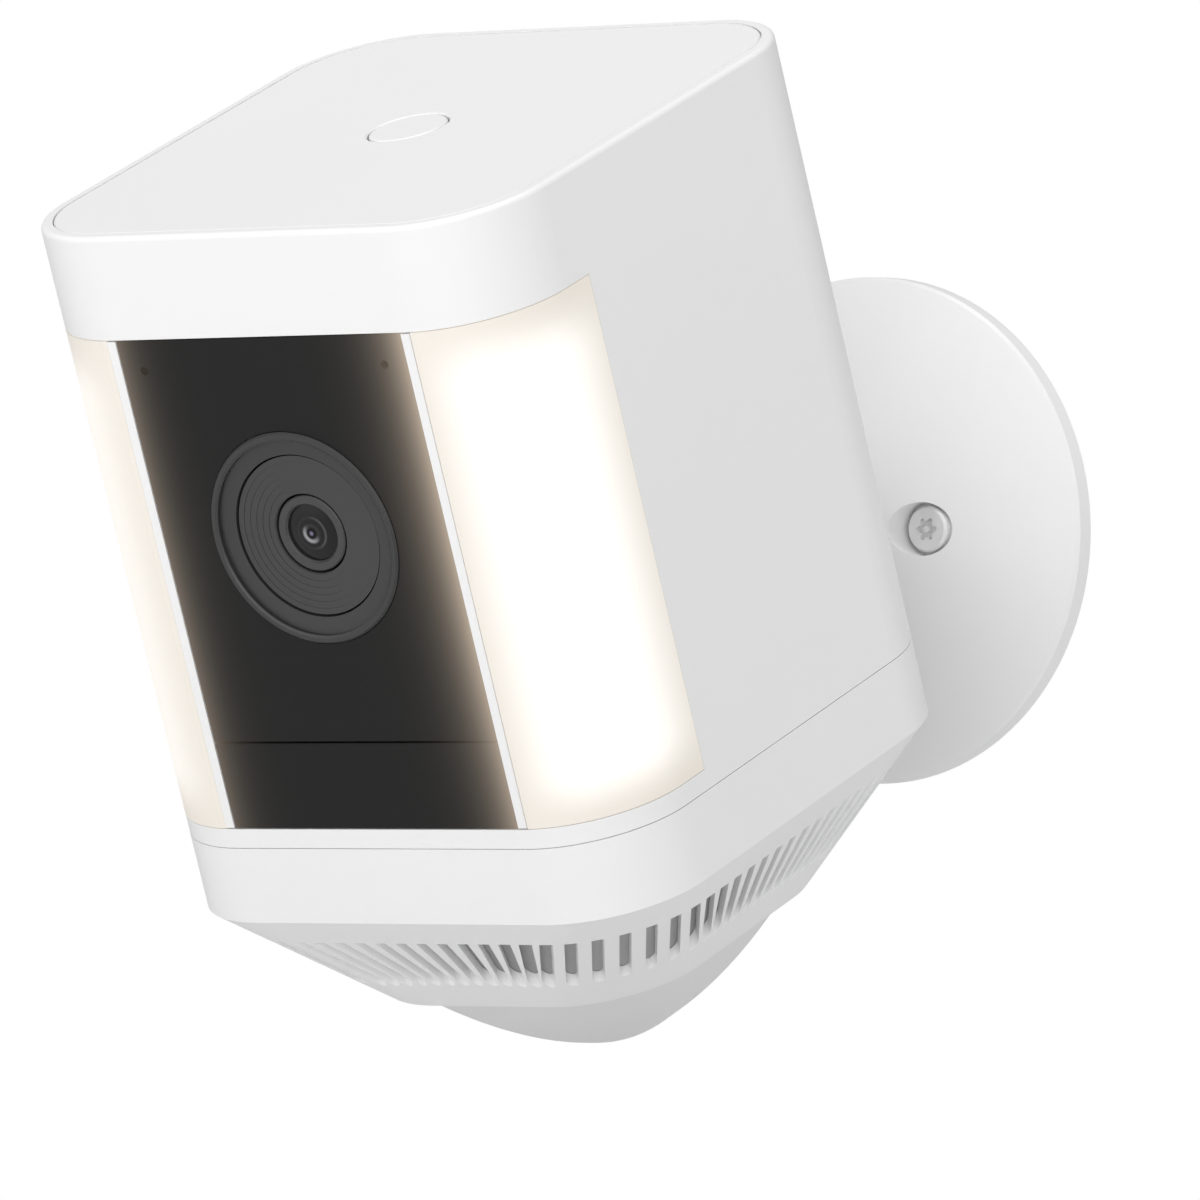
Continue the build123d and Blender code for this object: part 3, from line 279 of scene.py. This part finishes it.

# ---------------------------------------------------------------- lens glass
# Painted reflections on the glass: a lilac centre and two rings, laid out by distance from the lens
# axis: (centre, half width, lean, colour); the lean makes a ring brighter to one side.
glass, n, shader = finish("lens_glass", grey(0.01), 0.08, spread=0.0, smudge=0.02, specular=0.2)
x, y, z = n.head_coords()
up = n.math("SUBTRACT", z, LENS_Z)
radius = n.distance(x, up)
glass_and_reflections = n.mix(n.ramp(radius, 0.5, 1.1), grey(0.002), grey(0.014))
# The painted reflections are brighter to the lower left on the middle ring and to the right on the
# outer ring.
low_left_reflection = n.ramp(n.math("ADD", x, up), -1.5, 0.8, 1.0, 0.05)
right_reflection = n.ramp(x, -0.5, 2.0, 0.15, 1.0)
for centre, half, lean, colour in (
    (0.0, 0.45, 1.0, (0.20, 0.17, 0.26, 1)),
    (1.05, 0.45, low_left_reflection, (0.30, 0.30, 0.31, 1)),
    (2.1, 0.25, right_reflection, (0.07, 0.07, 0.075, 1)),
):
    away = n.math("ABSOLUTE", n.math("SUBTRACT", radius, centre))
    reflection_band = n.math("MULTIPLY", n.ramp(away, half * 0.1, half, 1.0, 0.0), lean)
    glass_and_reflections = n.mix(reflection_band, glass_and_reflections, colour)
n.link(glass_and_reflections, shader.inputs["Base Color"])
paint(glass, "front_element", "rear_elements")

# ---------------------------------------------------------------- camera
camera = bpy.data.objects.new("camera", bpy.data.cameras.new("camera"))
bpy.context.scene.collection.objects.link(camera)
bpy.context.scene.camera = camera
camera.data.sensor_width = 36.0  # lens and sensor in millimetres, places in metres
camera.data.lens = 357.28
camera.data.clip_start = 0.05
camera.data.clip_end = 40.0
side = Vector((0.81083, 0.58519, -0.01019))
rise = Vector((0.00925, 0.00459, 0.99995))
toward = side.cross(rise).normalized()
turn = Matrix((side, rise, toward)).transposed().to_4x4()
camera.matrix_world = Matrix.Translation((0.91095, -1.32693, -0.01171)) @ turn

# ---------------------------------------------------------------- floor and light
AIM = Vector((0.009, -0.077, -0.009))
FLOOR_Z = -0.125
FLOOR_R = 0.8
FLOOR_SIDES = 96
bpy.context.scene.view_settings.view_transform = "Standard"

floor_mesh = bpy.data.meshes.new("floor")
rim = []
for index in range(FLOOR_SIDES):
    bearing = index * math.tau / FLOOR_SIDES
    rim.append((FLOOR_R * math.cos(bearing), AIM.y + FLOOR_R * math.sin(bearing), FLOOR_Z))
floor_mesh.from_pydata(rim, [], [list(range(FLOOR_SIDES))])
floor = bpy.data.objects.new("floor", floor_mesh)
bpy.context.scene.collection.objects.link(floor)
pale = bpy.data.materials.new("pale_floor")
pale.use_nodes = True
n = Nodes(pale.node_tree)
shader = pale.node_tree.nodes["Principled BSDF"]
shader.inputs["Base Color"].default_value = grey(0.80)
shader.inputs["Roughness"].default_value = 0.9
shader.inputs["Specular IOR Level"].default_value = 0.0
split = n.add("ShaderNodeSeparateXYZ")
n.link(n.object_coords(), split.inputs[0])
far = n.distance(split.outputs[0], n.math("SUBTRACT", split.outputs[1], AIM.y))
n.link(n.ramp(far, 0.25, 0.7, 1.0, 0.0), shader.inputs["Alpha"])  # fades into the white
floor_mesh.materials.append(pale)

# Soft light from six sides, each a squared-cosine wash; the camera itself sees plain white.
world = bpy.data.worlds.new("studio")
bpy.context.scene.world = world
world.use_nodes = True
world.node_tree.nodes.clear()
n = Nodes(world.node_tree)
direction = n.add("ShaderNodeTexCoord").outputs["Generated"]
split = n.add("ShaderNodeSeparateXYZ")
n.link(direction, split.inputs[0])
strength = 0.0
washes = (
    (0, 1, 0.95),
    (0, -1, 0.45),
    (1, 1, 0.5),
    (1, -1, 1.9),
    (2, 1, 0.2),
    (2, -1, 0.05),
)
for axis, way, amount in washes:
    facing = n.math("MAXIMUM", n.math("MULTIPLY", split.outputs[axis], way), 0.0)
    wash = n.math("MULTIPLY", n.math("POWER", facing, 2.0), amount)
    strength = n.math("ADD", wash, strength)
choose = n.add("ShaderNodeMixShader")
n.link(n.add("ShaderNodeLightPath").outputs["Is Camera Ray"], choose.inputs[0])
for index, level in ((1, strength), (2, 1.0)):
    background = n.add("ShaderNodeBackground")
    background.inputs["Color"].default_value = (1, 1, 1, 1)
    n.feed(background.inputs["Strength"], level)
    n.link(background.outputs[0], choose.inputs[index])
n.link(choose.outputs[0], n.add("ShaderNodeOutputWorld").inputs["Surface"])


def softbox(name, place, size, watts):
    """A round area light turned towards the object."""
    lamp_data = bpy.data.lights.new(name, "AREA")
    lamp_data.shape = "DISK"
    lamp_data.size = size
    lamp_data.energy = watts
    lamp_object = bpy.data.objects.new(name, lamp_data)
    bpy.context.scene.collection.objects.link(lamp_object)
    lamp_object.location = place
    lamp_object.rotation_euler = (Vector(place) - AIM).to_track_quat("Z", "Y").to_euler()


softbox("top", (0.1, -0.2, 1.4), 0.8, 8.2)
softbox("fill", (0.68, -1.35, -0.38), 1.0, 2.6)
